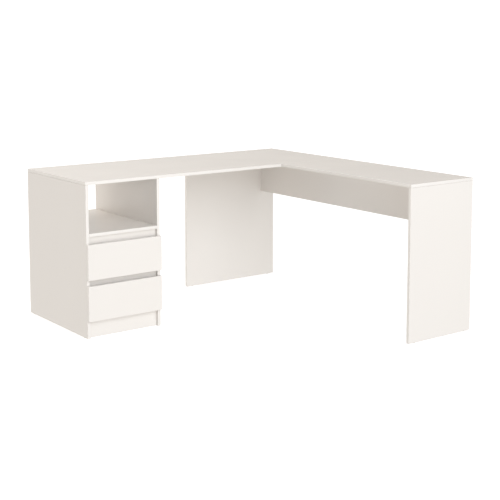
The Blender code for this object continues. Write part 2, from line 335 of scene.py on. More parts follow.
def linen_foil(name, colours):
    """White foil with a fine pressed linen pattern, as drawer sides have."""
    paint = Finish(name, ior=1.47)
    warp = paint.ridges(0.0011, "Y")
    weft = paint.ridges(0.0011, "Z")
    slubs = paint.noise(0.006, (1.0, 0.25, 1.0), detail=3.0)
    weave = 0.5 * warp + 0.5 * weft
    shade = paint.tones(0.55 * weave + 0.45 * slubs, colours.foil, 0.955, 1.02)
    relief = weave + 0.5 * slubs
    return paint.cover(shade, 0.42 + 0.10 * weave, height=relief, depth=3e-5, strength=0.7)


def lacquered_hardboard(name, colours):
    """White lacquer over hardboard: faint orange peel and a few fibres that show through."""
    paint = Finish(name)
    peel = paint.noise(0.0022, detail=2.0)
    fibres = paint.contrast(paint.noise(0.0028, (1.0, 0.3, 1.0), detail=5.0), 0.55, 0.80)
    shade = paint.tones(0.5 * fibres, colours.lacquer, 1.0, 0.86)
    relief = peel + 0.3 * fibres
    return paint.cover(shade, 0.34 + 0.16 * peel, height=relief, depth=4e-5, strength=0.6)


def screen_hardboard(name, colours):
    """Brown back of hardboard, printed by the wire screen that it was pressed on."""
    paint = Finish(name, ior=1.45)
    screen = paint.ridges(0.0016, "X") * paint.ridges(0.0016, "Y")
    fibres = paint.noise(0.0045, (0.4, 1.0, 1.0), detail=6.0)
    shade = paint.tones(0.45 * screen + 0.55 * fibres, colours.fibre, 0.62, 1.35)
    relief = screen + 0.4 * fibres
    return paint.cover(shade, 0.70 + 0.18 * fibres, height=relief, depth=1.4e-4, strength=0.8)


def brushed_zinc(name, colours):
    """Rolled, zinc-plated steel: long draw lines, spangle and a slightly blue passivation."""
    paint = Finish(name)
    lines = paint.noise(0.0009, (1.0, 0.015, 1.0), detail=4.0)
    spangle = paint.cells(0.011, output="Color")
    bloom = paint.noise(0.045, detail=3.0)
    plain = paint.tones(lines, colours.steel, 0.86, 1.08)
    cool = paint.mix(0.30 * bloom, plain, BLUE_PASSIVATION)
    shade = paint.mix(0.06, cool, spangle)
    roughness = 0.24 + 0.16 * lines + 0.10 * bloom
    return paint.cover(shade, roughness, 1.0 - 0.06 * bloom, height=lines, depth=2e-5, strength=0.6)


def cast_zinc(name, colours):
    """Die-cast zinc, grainy and dull."""
    paint = Finish(name)
    grain = paint.noise(0.0006, detail=4.0)
    stains = paint.noise(0.005, detail=3.0)
    shade = paint.tones(0.5 * grain + 0.5 * stains, colours.cam, 0.72, 1.12)
    return paint.cover(shade, 0.36 + 0.20 * grain, 0.92 + 0.08 * stains, height=grain, depth=4e-5)


def polished_steel(name, colours):
    """Ground balls with a thin film of grease."""
    paint = Finish(name)
    grease = paint.contrast(paint.noise(0.004, detail=3.0), 0.42, 0.70)
    shade = paint.tones(grease, colours.ball, 1.0, 0.80)
    return paint.cover(shade, 0.10 + 0.22 * grease, 1.0 - 0.10 * grease)


def screw_zinc(name, colours):
    """Zinc-plated screws with a faint yellow passivation and small drive marks."""
    paint = Finish(name)
    marks = paint.noise(0.0005, detail=4.0)
    yellow = paint.noise(0.003, detail=2.0)
    plain = paint.tones(marks, colours.screw, 0.70, 1.10)
    shade = paint.mix(0.35 * yellow, plain, YELLOW_PASSIVATION)
    return paint.cover(shade, 0.26 + 0.18 * marks, 0.94 + 0.06 * yellow, height=marks, depth=1.5e-5)


def black_nylon(name, colours):
    """Moulded nylon with an even spark-eroded grain."""
    paint = Finish(name, ior=1.53)
    grain = paint.noise(0.0005, detail=2.0)
    wear = paint.noise(0.009, detail=4.0)
    shade = paint.tones(0.6 * wear + 0.4 * grain, colours.nylon, 0.8, 1.7)
    return paint.cover(shade, 0.40 + 0.16 * grain, height=grain, depth=4e-5, strength=0.7)


def glide_polyethylene(name, colours):
    """Milky polyethylene, dulled and scratched where it slides on the floor."""
    paint = Finish(name, ior=1.51)
    cloud = paint.noise(0.005, detail=3.0)
    scratches = paint.contrast(paint.noise(0.0016, (0.08, 1.0, 1.0), detail=4.0), 0.52, 0.70)
    shade = paint.tones(0.6 * cloud + 0.4 * scratches, colours.glide, 1.0, 0.84)
    roughness = 0.38 + 0.22 * scratches
    return paint.cover(shade, roughness, height=1.0 - scratches, depth=5e-5, strength=0.6)


def moulded_cap(name, colours):
    """Fine-grained white plastic, matched to the melamine."""
    paint = Finish(name)
    grain = paint.noise(0.0006, detail=2.0)
    flow = paint.noise(0.007, detail=2.0)
    shade = paint.tones(0.5 * grain + 0.5 * flow, colours.cap, 0.96, 1.02)
    return paint.cover(shade, 0.32 + 0.12 * grain, height=grain, depth=2e-5, strength=0.6)


def studio_floor(name, colours):
    """Seamless pale paper, lit evenly enough to read as white."""
    stage = bpy.context.scene.desk_stage
    paint = Finish(name, ior=1.4)
    paint.glow(stage.floor_glow)
    fibres = paint.noise(0.02, detail=4.0)
    shade = paint.tones(fibres, stage.floor_colour, 0.995, 1.005)
    return paint.cover(shade, 0.86 + 0.10 * fibres)


def backdrop_paper(name, colours):
    """White paper behind the floor's far edge."""
    paint = Finish(name)
    paint.glow(1.0)
    mottle = paint.noise(4.0)
    shade = paint.tones(mottle, (0.30, 0.30, 0.30), 1.0, 1.07)
    return paint.cover(shade, 0.90 + 0.05 * mottle)


FINISHES = {
    "satin_white_melamine": satin_melamine,
    "edge_band_along_x": edge_band,
    "edge_band_along_y": edge_band,
    "edge_band_along_z": edge_band,
    "raw_chipboard": raw_chipboard,
    "linen_drawer_foil": linen_foil,
    "lacquered_hardboard": lacquered_hardboard,
    "brown_hardboard": screen_hardboard,
    "brushed_zinc_steel": brushed_zinc,
    "cast_cam_zinc": cast_zinc,
    "ball_steel": polished_steel,
    "zinc_screw": screw_zinc,
    "black_nylon": black_nylon,
    "glide_polyethylene": glide_polyethylene,
    "cover_cap_plastic": moulded_cap,
    "studio_floor_paper": studio_floor,
    "backdrop_paper": backdrop_paper,
}


def finish(name):
    """The named finish, made the first time that it is asked for."""
    return bpy.data.materials.get(name) or FINISHES[name](name, bpy.context.scene.desk_colours)


# Mesh helpers


def nodes_named(stem):
    """The frame's nodes whose names start with a stem, in order."""
    return sorted(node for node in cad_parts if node.startswith(stem))


def add_object(name, data):
    """A new object of the scene."""
    item = bpy.data.objects.new(name, data)
    bpy.context.scene.collection.objects.link(item)
    return item


def add_block(bm, low, high):
    """A closed block; gives its faces."""
    corners = [bm.verts.new(point) for point in product(*zip(low, high))]
    quads = ((0, 1, 3, 2), (4, 6, 7, 5), (0, 4, 5, 1), (2, 3, 7, 6), (0, 2, 6, 4), (1, 5, 7, 3))
    return [bm.faces.new([corners[corner] for corner in quad]) for quad in quads]


def add_prism(bm, first, last):
    """A closed prism between two rings of points; gives its faces, caps last."""
    low = [bm.verts.new(point) for point in first]
    high = [bm.verts.new(point) for point in last]
    faces = []
    for here in range(len(low)):
        after = (here + 1) % len(low)
        faces.append(bm.faces.new((low[here], low[after], high[after], high[here])))
    faces.append(bm.faces.new(low[::-1]))
    faces.append(bm.faces.new(high))
    bmesh.ops.recalc_face_normals(bm, faces=faces)
    return faces


def add_turned(bm, profile, matrix, steps=28, material=0):
    """A turned solid: profile gives (height, radius) pairs and starts and ends on the axis."""
    rings = []
    for height, radius in profile:
        if radius == 0.0:
            rings.append([bm.verts.new(matrix @ Vector((0, 0, height)))])
        else:
            turns = (2 * pi * step / steps for step in range(steps))
            ring = [Vector((radius * cos(turn), radius * sin(turn), height)) for turn in turns]
            rings.append([bm.verts.new(matrix @ point) for point in ring])
    faces = []
    for one, two in zip(rings, rings[1:]):
        for here in range(steps):
            after = (here + 1) % steps
            ways = ((one, here), (one, after), (two, after), (two, here))
            corners = dict.fromkeys(ring[place % len(ring)] for ring, place in ways)
            faces.append(bm.faces.new(list(corners)))
    bmesh.ops.recalc_face_normals(bm, faces=faces)
    for face in faces:
        face.material_index = material
        face.smooth = True
    return faces


def pointing(centre, facing):
    """A matrix that puts the origin at a centre and turns +Z to a direction."""
    return Matrix.Translation(centre) @ Vector(facing).to_track_quat("Z", "Y").to_matrix().to_4x4()


def merged_copy(node):
    """A CAD node's mesh with its loose triangles joined into flat faces."""
    bm = bmesh.new()
    bm.from_mesh(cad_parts[node].data)
    bmesh.ops.remove_doubles(bm, verts=bm.verts, dist=1e-6)
    bmesh.ops.dissolve_limit(bm, angle_limit=radians(1.0), verts=bm.verts, edges=bm.edges)
    return bm


def block_edges(edges, low, high):
    """The edges that lie on two outer planes of a block."""

    def planes(vert):
        at_low = {(axis, 0) for axis in range(3) if abs(vert.co[axis] - low[axis]) < NEAR}
        return at_low | {(axis, 1) for axis in range(3) if abs(vert.co[axis] - high[axis]) < NEAR}

    return [edge for edge in edges if len(planes(edge.verts[0]) & planes(edge.verts[1])) == 2]


def edges_of(faces):
    """The edges of some faces, each once and always in the same order."""
    return list(dict.fromkeys(edge for face in faces for edge in face.edges))


def round_off(bm, edges, radius, steps):
    bmesh.ops.bevel(bm, geom=edges, offset=radius, segments=steps, profile=0.5, affect="EDGES")


def to_mesh(name, bm, finishes):
    mesh = bpy.data.meshes.new(name)
    bm.to_mesh(mesh)
    bm.free()
    for item in finishes:
        mesh.materials.append(finish(item))
    return mesh


def carved(mesh, cutter):
    """A mesh with a cutter's volume taken out of it."""
    tool = add_object("cutter", to_mesh("cutter", cutter, ()))
    blank = add_object("blank", mesh)
    cut = blank.modifiers.new("cut", "BOOLEAN")
    cut.operation = "DIFFERENCE"
    cut.solver = "EXACT"
    cut.object = tool
    result = baked(blank)
    name = mesh.name
    for item in (tool, blank):
        bpy.data.meshes.remove(item.data)
    result.name = name
    return result


def baked(piece):
    """A piece's mesh as its modifiers leave it."""
    bpy.context.view_layer.update()
    evaluated = piece.evaluated_get(bpy.context.evaluated_depsgraph_get())
    return bpy.data.meshes.new_from_object(evaluated)


def add_piece(mesh, body, replaced=(), smooth_below=30.0):
    """Show a mesh as a piece that rides on a body, in place of some CAD nodes."""
    mesh.set_sharp_from_angle(angle=radians(smooth_below))
    piece = add_object(mesh.name, mesh)
    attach(piece, body)
    if replaced:
        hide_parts(*replaced)


def face_middle(node, facing):
    """The middle of a node's face on one side."""
    low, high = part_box(node)
    half = (high - low) / 2
    return (low + high) / 2 + Vector([half[axis] * facing[axis] for axis in range(3)])


# Boards


def build_board(node, thickness, sides, body):
    """A board with its edge bands glued on; a band covers the ends of those glued before it."""
    size = bpy.context.scene.desk_sizes
    bm = merged_copy(node)
    low, high = ([*corner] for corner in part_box(node))
    outer_low, outer_high = [*low], [*high]
    bands = []
    for side in sides.split():
        axis = "xyz".index(side[1])
        corner, inward = (low, 1) if side[0] == "-" else (high, -1)
        bed = corner[axis] + inward * (size.band + size.glue)
        for vert in bm.verts:
            if abs(vert.co[axis] - corner[axis]) < NEAR:
                vert.co[axis] = bed
        corner[axis] = bed
        bands.append((axis, inward))
    round_off(bm, block_edges(bm.edges, low, high), size.chamfer, 1)
    across = "xyz".index(thickness)
    for face in bm.faces:
        at = face.calc_center_median()[across]
        on_face = min(abs(at - low[across]), abs(at - high[across])) < 2 * size.chamfer
        face.material_index = 0 if on_face and abs(face.normal[across]) > 0.5 else 1
    finishes = ["satin_white_melamine", "raw_chipboard"]
    for axis, inward in bands:
        band_low, band_high = [*low], [*high]
        if inward > 0:
            band_low[axis], band_high[axis] = outer_low[axis], outer_low[axis] + size.band
            low[axis] = outer_low[axis]
        else:
            band_low[axis], band_high[axis] = outer_high[axis] - size.band, outer_high[axis]
            high[axis] = outer_high[axis]
        run = "xyz"[3 - axis - across]
        item = f"edge_band_along_{run}"
        if item not in finishes:
            finishes.append(item)
        faces = add_block(bm, band_low, band_high)
        plane = band_low[axis] if inward > 0 else band_high[axis]
        outer = [
            edge for edge in edges_of(faces) if all(abs(vert.co[axis] - plane) < NEAR for vert in edge.verts)
        ]
        for face in faces:
            face.material_index = finishes.index(item)
        round_off(bm, outer, size.band_radius, 3)
    add_piece(to_mesh(f"{node}_board", bm, finishes), body, [node])


# Drawer boxes

GROOVE_PLAY = 0.0003  # gap between a drawer's floor and its groove
BORE_PLAY = 0.00015  # gap between a cam and its bore
CAM_SHARES = (0.32, 0.76)  # the drawer cams' heights, as shares of the side's height


def side_outline(node, floor_node, inward):
    """A drawer side's section: a groove for the floor and a rounded upper edge, in (x, z) pairs."""
    radius = bpy.context.scene.desk_sizes.side_rounding
    low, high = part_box(node)
    floor_low, floor_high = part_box(floor_node)
    outer, inner = (low.x, high.x) if inward > 0 else (high.x, low.x)
    bed = (floor_low.x if inward > 0 else floor_high.x) - inward * GROOVE_PLAY
    under, over = floor_low.z - GROOVE_PLAY, floor_high.z + GROOVE_PLAY
    outline = [(outer, low.z), (inner, low.z), (inner, under), (bed, under), (bed, over), (inner, over)]
    turns = [pi / 8 * step for step in range(5)]
    bends = [(radius * (1 - cos(turn)), radius * (1 - sin(turn))) for turn in turns]
    outline += [(inner - inward * across, high.z - down) for across, down in bends]
    outline += [(outer + inward * across, high.z - down) for across, down in reversed(bends)]
    return outline


def drawer_cam_places(number):
    """Where a drawer's cams sit: face centres and the way that they face."""
    size = bpy.context.scene.desk_sizes
    places = []
    for side, inward in INWARD.items():
        low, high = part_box(f"drawer_{number}_{side}_side")
        x = high.x if inward > 0 else low.x
        for share in CAM_SHARES:
            z = low.z + share * (high.z - low.z)
            places.append((Vector((x, low.y + size.drawer_cam_reach, z)), (inward, 0, 0)))
    return places


def build_drawer_side(node, floor_node, inward, cams, body):
    """A foiled side with a groove and the bores of two cams; its ends and cuts are raw."""
    size = bpy.context.scene.desk_sizes
    low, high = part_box(node)
    outline = side_outline(node, floor_node, inward)
    bm = bmesh.new()
    add_prism(bm, *([(x, y, z) for x, z in outline] for y in (low.y, high.y)))
    bores = bmesh.new()
    radius, depth, past = size.drawer_cam + BORE_PLAY, size.drawer_cam_depth, 0.004
    for centre, facing in cams:
        if facing[0] == inward:
            profile = ((-depth, 0.0), (-depth, radius), (past, radius), (past, 0.0))
            add_turned(bores, profile, pointing(centre, facing))
    mesh = carved(to_mesh(f"{node}_panel", bm, ["linen_drawer_foil", "raw_chipboard"]), bores)
    skin = 10 * NEAR
    for polygon in mesh.polygons:
        middle = polygon.center
        within = low.x + skin < middle.x < high.x - skin and low.z + 0.001 < middle.z < high.z - 0.004
        polygon.material_index = 1 if abs(polygon.normal.y) > 0.9 or within else 0
        polygon.use_smooth = False
    add_piece(mesh, body, [node])


def build_drawer_box(number):
    """Two sides, a back with raw ends, a floor that is lacquered above, and the cams of the front."""
    size = bpy.context.scene.desk_sizes
    body = f"drawer_{number}"
    floor_node, back_node = f"drawer_{number}_floor", f"drawer_{number}_back"
    cams = drawer_cam_places(number)
    for side, inward in INWARD.items():
        build_drawer_side(f"drawer_{number}_{side}_side", floor_node, inward, cams, body)
    bm = eased_block(back_node, 0.0004, 2)
    for face in bm.faces:
        face.material_index = 1 if abs(face.normal.x) > 0.9 else 0
    mesh = to_mesh(f"{back_node}_panel", bm, ["linen_drawer_foil", "raw_chipboard"])
    add_piece(mesh, body, [back_node])
    bm = eased_block(floor_node, 0.0002, 1)
    for face in bm.faces:
        face.material_index = 0 if face.normal.z > 0.9 else 1
    mesh = to_mesh(f"{floor_node}_sheet", bm, ["lacquered_hardboard", "brown_hardboard"])
    add_piece(mesh, body, [floor_node])
    bm = bmesh.new()
    template = cam_template(size.drawer_cam, size.drawer_cam_depth)
    for centre, facing in cams:
        add_copy(bm, template, pointing(centre, facing))
    add_piece(to_mesh(f"drawer_{number}_front_cams", bm, ["cast_cam_zinc"]), body)


def eased_block(node, radius, steps):
    """A node's block with its edges broken."""
    bm = merged_copy(node)
    round_off(bm, block_edges(bm.edges, *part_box(node)), radius, steps)
    return bm


# Cams, caps, plates and glides

PLATE_HOLE_PITCH = 0.026
PLATE_CORNER = 0.005
# Outlines around an axis, as (height, radius) pairs: a pressed and countersunk hole, and a glide's nail.
PLATE_HOLE = (
    (-0.004, 0.0), (-0.004, 0.0034), (0.0002, 0.0034), (0.0008, 0.0025), (0.006, 0.0025), (0.006, 0.0),
)
GLIDE_NAIL = ((0.0002, 0.0), (0.00025, 0.0016), (0.0005, 0.0024), (0.0009, 0.0026), (0.0010, 0.0))


def add_copy(bm, template, matrix):
    """Add a mesh to another, moved by a matrix."""
    mark = len(bm.verts)
    bm.from_mesh(template)
    bm.verts.ensure_lookup_table()
    bmesh.ops.transform(bm, matrix=matrix, verts=bm.verts[mark:])


def cross_cutter(reach, width, depth, top):
    """A cross-shaped driver recess that narrows to its bottom."""
    arm = width / 2
    corner = [(reach, -arm), (reach, arm), (arm, arm)]
    ring = [Matrix.Rotation(pi / 2 * turn, 2) @ Vector(point) for turn in range(4) for point in corner]
    bm = bmesh.new()
    add_prism(bm, [(0.6 * u, 0.6 * v, -depth) for u, v in ring], [(u, v, top) for u, v in ring])
    return bm


def cam_template(radius, depth):
    """A cam housing around +Z, its open face at the origin: rim, sunk face, driver cross and set mark."""
    rim = 0.80 * radius
    profile = [(-depth, 0.0), (-depth, 0.94 * radius), (-0.95 * depth, radius), (-0.0004, radius)]
    profile += [(0.0, 0.95 * radius), (0.0, rim), (-0.0005, rim - 0.0004), (-0.0005, 0.0)]
    bm = bmesh.new()
    add_turned(bm, profile, Matrix(), steps=32)
    cross = cross_cutter(0.46 * radius, 0.26 * radius, 0.003, 0.001)
    housing = carved(to_mesh("cam_blank", bm, ["cast_cam_zinc"]), cross)
    mark = bmesh.new()
    ring = ((0.52, -0.10), (0.70, 0.0), (0.52, 0.10))
    low = [Vector((radius * u, radius * v, -0.0012)) for u, v in ring]
    add_prism(mark, low, [point + Vector((0, 0, 0.003)) for point in low])
    return carved(housing, mark)


def build_cams():
    """Cam housings in the panels' bores, with cover caps on those that can be seen."""
    size = bpy.context.scene.desk_sizes
    cams = nodes_named("cam_")
    low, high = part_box(cams[0])
    spans = sorted(high - low)
    template = cam_template(spans[1] / 2, spans[0])
    for node in cams:
        where = next(key for key in CAM_FACING if key in node)
        facing = CAM_FACING[where]
        centre = face_middle(node, facing)
        bm = bmesh.new()
        add_copy(bm, template, pointing(centre, facing))
        add_piece(to_mesh(f"{node}_housing", bm, ["cast_cam_zinc"]), FRAME_BODY, [node])
        if where == BARE_CAMS:
            continue
        radius, height = size.cap_radius, size.cap_height
        profile = [(0.0001, 0.0), (0.0001, radius), (0.35 * height, radius), (0.7 * height, 0.96 * radius)]
        profile += [(0.92 * height, 0.82 * radius), (height, 0.5 * radius), (height, 0.0)]
        bm = bmesh.new()
        add_turned(bm, profile, pointing(centre, facing), steps=32)
        add_piece(to_mesh(f"{node}_cap", bm, ["cover_cap_plastic"]), FRAME_BODY)


def plate_hole_places(node):
    """The middles of a joining plate's four holes, on its under face."""
    middle = face_middle(node, (0, 0, -1))
    return [middle + Vector((0, PLATE_HOLE_PITCH * step, 0)) for step in (-1.5, -0.5, 0.5, 1.5)]


def build_joining_plates():
    """Steel plates with rounded corners and four pressed screw holes each."""
    for node in nodes_named("joining_plate"):
        low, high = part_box(node)
        outline = []
        for quarter, (way_x, way_y) in enumerate(((1, 1), (-1, 1), (-1, -1), (1, -1))):
            x = (high.x if way_x > 0 else low.x) - way_x * PLATE_CORNER
            y = (high.y if way_y > 0 else low.y) - way_y * PLATE_CORNER
            for step in range(6):
                angle = pi / 2 * (quarter + step / 5)
                outline.append((x + PLATE_CORNER * cos(angle), y + PLATE_CORNER * sin(angle)))
        bm = bmesh.new()
        faces = add_prism(bm, *([(x, y, z) for x, y in outline] for z in (low.z, high.z)))
        round_off(bm, edges_of(faces[-2:]), 0.0003, 2)
        holes = bmesh.new()
        for place in plate_hole_places(node):
            add_turned(holes, PLATE_HOLE, pointing(place, (0, 0, 1)), steps=24)
        mesh = carved(to_mesh(f"{node}_steel", bm, ["brushed_zinc_steel"]), holes)
        add_piece(mesh, FRAME_BODY, [node])


def build_glides():
    """Nailed glides: a rounded polyethylene foot with the nail's head sunk in its middle."""
    for node in nodes_named("glide_"):
        low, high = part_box(node)
        radius, rise = (high.x - low.x) / 2, high.z - low.z
        foot = [(0.0009, 0.0), (0.0009, 0.0029), (0.0, 0.0034), (0.0, 0.72 * radius)]
        foot += [(0.0002, 0.80 * radius), (0.0007, 0.92 * radius), (0.0014, radius)]
        foot += [(0.82 * rise, radius), (rise, 0.95 * radius), (rise, 0.0)]
        base = pointing(face_middle(node, (0, 0, -1)), (0, 0, 1))
        bm = bmesh.new()
        add_turned(bm, foot, base, steps=32)
        add_turned(bm, GLIDE_NAIL, base, steps=20, material=1)
        mesh = to_mesh(f"{node}_nailed", bm, ["glide_polyethylene", "zinc_screw"])
        add_piece(mesh, FRAME_BODY, [node])


# Slides


class SlidePlace:
    """One slide's own axes: depth from the wall, way along +Y from its front end, height from its middle."""

    def __init__(self, number, side):
        self.stem = f"slide_{number}_{side}"
        low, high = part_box(f"{self.stem}_cabinet_member")
        self.inward = INWARD[side]
        self.wall = low.x if side == "left" else high.x
        self.front = low.y
        self.length = high.y - low.y
        self.middle = (low.z + high.z) / 2

    def point(self, depth, way, height):
        return Vector((self.wall + self.inward * depth, self.front + way, self.middle + height))


# Half sections of the members, from the flange's lip to the web, on the middle of the steel (mm).
SECTIONS = {
    "cabinet_member": ((9.15, 21.2), (8.1, 21.9), (0.6, 21.9)),
    "middle_member": ((10.7, 18.2), (9.8, 17.8), (3.8, 17.8)),
    "drawer_member": ((6.5, 13.3), (7.4, 13.7), (12.1, 13.7)),
}
# How far each member's ends stay behind the slide's ends (mm).
SETBACKS = {"cabinet_member": (0.0, 0.0), "middle_member": (2.0, 5.0), "drawer_member": (0.5, 8.0)}
# Openings in the webs: way from the slide's front, length along the slide and height (mm).
LONG_SLOT, TALL_SLOT, ROUND_HOLE, WINDOW = (9.5, 4.6), (4.6, 9.5), (6.4, 6.4), (40.0, 10.0)
OPENINGS = {
    "cabinet_member": (
        (62, *LONG_SLOT), (98, *ROUND_HOLE), (128, *TALL_SLOT), (196, *LONG_SLOT), (258, 30.0, 9.0),
        (322, *LONG_SLOT), (354, *TALL_SLOT), (418, *ROUND_HOLE), (436, 4.6, 4.6),
    ),
    "middle_member": ((36, 5.0, 5.0), (120, *WINDOW), (225, *WINDOW), (330, *WINDOW), (414, 5.0, 5.0)),
    "drawer_member": (
        (14, *TALL_SLOT), (196, *LONG_SLOT), (262, *TALL_SLOT), (300, *LONG_SLOT), (352, *ROUND_HOLE),
        (424, *LONG_SLOT),
    ),
}
SCREW_WAYS = {"cabinet_member": (36, 160, 386), "drawer_member": (28, 230, 398)}
MILLIMETRE = 0.001
# Half sections of the ball cages, on the middle of the steel (mm).
CAGE_SECTIONS = {"outer": ((8.2, 19.85), (2.85, 19.85)), "inner": ((10.0, 15.75), (5.15, 15.75))}
CAGE_BEND = 0.0006
# The release lever's outline: way from the slide's front and height (mm), along its under side and back.
LEVER = (
    (70, -2.6), (74, -3.8), (80, -4.2), (86, -3.6), (92, -2.0), (124, -1.2), (132, -2.6), (150, -9.4),
    (156, -9.8), (158, -7.6), (142, 0.4), (128, 2.6), (92, 3.0), (86, 4.2), (80, 4.6), (73, 3.6), (70, 1.8),
)
LEVER_BOSS = (
    (0.0, 0.0), (0.0, 0.0036), (0.0040, 0.0036), (0.0046, 0.0030), (0.0046, 0.0014), (0.0034, 0.0010),
    (0.0034, 0.0),
)


def bent_outline(half, steel, radius):
    """The closed outline of a bent strip from its upper half; its corners are rounded."""
    path = [Vector(point) * MILLIMETRE for point in half]
    path += [Vector((point.x, -point.y)) for point in reversed(path)]
    smooth = [path[0]]
    for before, corner, after in zip(path, path[1:], path[2:]):
        reach = min(radius, 0.45 * (before - corner).length, 0.45 * (after - corner).length)
        start = corner + (before - corner).normalized() * reach
        end = corner + (after - corner).normalized() * reach
        for step in range(5):
            share = step / 4
            smooth.append(start * (1 - share) ** 2 + corner * (2 * share * (1 - share)) + end * share**2)
    smooth.append(path[-1])
    one, two = [], []
    for place, point in enumerate(smooth):
        before = smooth[max(place - 1, 0)]
        after = smooth[min(place + 1, len(smooth) - 1)]
        along = (after - before).normalized()
        normal = Vector((-along.y, along.x)) * steel / 2
        one.append(point + normal)
        two.append(point - normal)
    return one + two[::-1]


def run_strip(place, outline, start, end):
    """A strip with smooth bends that runs along the slide between two ways."""
    bm = bmesh.new()
    for face in add_prism(bm, *([place.point(x, way, z) for x, z in outline] for way in (start, end)))[:-2]:
        face.smooth = True
    return bm


def add_slot(bm, place, way, long, tall, depths):
    """A slot with round ends through a web, as a cutter."""
    radius = min(long, tall) / 2
    half_long, half_tall = long / 2 - radius, tall / 2 - radius
    ring = []
    for step in range(24):
        angle = 2 * pi * (step + 0.5) / 24
        shift = copysign(half_long, cos(angle)), copysign(half_tall, sin(angle))
        ring.append((way + shift[0] + radius * cos(angle), shift[1] + radius * sin(angle)))
    add_prism(bm, *([place.point(depth, *point) for point in ring] for depth in depths))


def build_member(place, member, body):
    """One rolled member with the openings in its web."""
    size = bpy.context.scene.desk_sizes
    outline = bent_outline(SECTIONS[member], size.steel, size.bend)
    start, end = (setback * MILLIMETRE for setback in SETBACKS[member])
    bm = run_strip(place, outline, start, place.length - end)
    web = SECTIONS[member][2][0] * MILLIMETRE
    slots = bmesh.new()
    for opening in OPENINGS[member]:
        add_slot(slots, place, *(value * MILLIMETRE for value in opening), (web - 0.0015, web + 0.0015))
    node = f"{place.stem}_{member}"
    mesh = carved(to_mesh(f"{node}_steel", bm, ["brushed_zinc_steel"]), slots)
    add_piece(mesh, body, [node])


def build_cages(place, body):
    """The two ball cages, which stay with the middle member."""
    size = bpy.context.scene.desk_sizes
    ways = {"outer": (0.236, place.length - 0.008), "inner": (0.006, 0.214)}
    for cage, half in CAGE_SECTIONS.items():
        bm = run_strip(place, bent_outline(half, size.cage, CAGE_BEND), *ways[cage])
        mesh = to_mesh(f"{place.stem}_{cage}_ball_cage", bm, ["brushed_zinc_steel"])
        add_piece(mesh, body)


def build_lever(place, body):
    """The black release lever inside the drawer member: a pivot boss, a springy arm and a thumb pad."""
    outline = [(way * MILLIMETRE, height * MILLIMETRE) for way, height in LEVER]
    bm = bmesh.new()
    faces = add_prism(bm, *([place.point(depth, *point) for point in outline] for depth in (0.0074, 0.0104)))
    round_off(bm, edges_of(faces[-2:]), 0.0005, 2)
    boss = pointing(place.point(0.0112, 0.080, 0.0002), (-place.inward, 0, 0))
    add_turned(bm, LEVER_BOSS, boss, steps=24)
    add_piece(to_mesh(f"{place.stem}_release_lever", bm, ["black_nylon"]), body)


def build_bumper(place):
    """The soft stop at the rear end of the cabinet member."""
    bm = bmesh.new()
    low = place.point(0.0014, place.length - 0.0042, -0.0150)
    high = place.point(0.0082, place.length - 0.0004, 0.0150)
    faces = add_block(bm, Vector(map(min, low, high)), Vector(map(max, low, high)))
    round_off(bm, edges_of(faces), 0.0008, 3)
    add_piece(to_mesh(f"{place.stem}_bumper", bm, ["black_nylon"]), FRAME_BODY)


def build_slides():
    for number in DRAWERS:
        for side in INWARD:
            place = SlidePlace(number, side)
            build_member(place, "cabinet_member", FRAME_BODY)
            build_member(place, "middle_member", f"drawer_{number}_telescope")
            build_member(place, "drawer_member", f"drawer_{number}")
            build_cages(place, f"drawer_{number}_telescope")
            build_lever(place, f"drawer_{number}")
            build_bumper(place)


# Rows of balls and fields of screws, made with Geometry Nodes

# The slides' tracks: the balls' depth, their height above and below the middle and each row's start.
BALL_TRACKS = ((0.0064, 0.01985, (0.240, 0.346)), (0.0086, 0.01575, (0.012, 0.118)))
# Half outline of a pan head one unit across, as (height, radius) pairs.
PAN_HEAD = (
    (-0.10, 0.0), (-0.10, 0.26), (0.0, 0.30), (0.0, 0.49), (0.05, 0.50), (0.10, 0.47), (0.16, 0.38),
    (0.195, 0.24), (0.21, 0.10), (0.21, 0.0),
)
SCREW_SEED = 7
REAR_INSET = 0.006  # middle of the screws in a drawer's back, from its rear face
WEB_FACE = {"cabinet_member": 0.00118, "drawer_member": 0.01152}  # depth of the face that a screw sits on
SEAT_LIFT = 0.0001  # how far a sunk head is set into its board


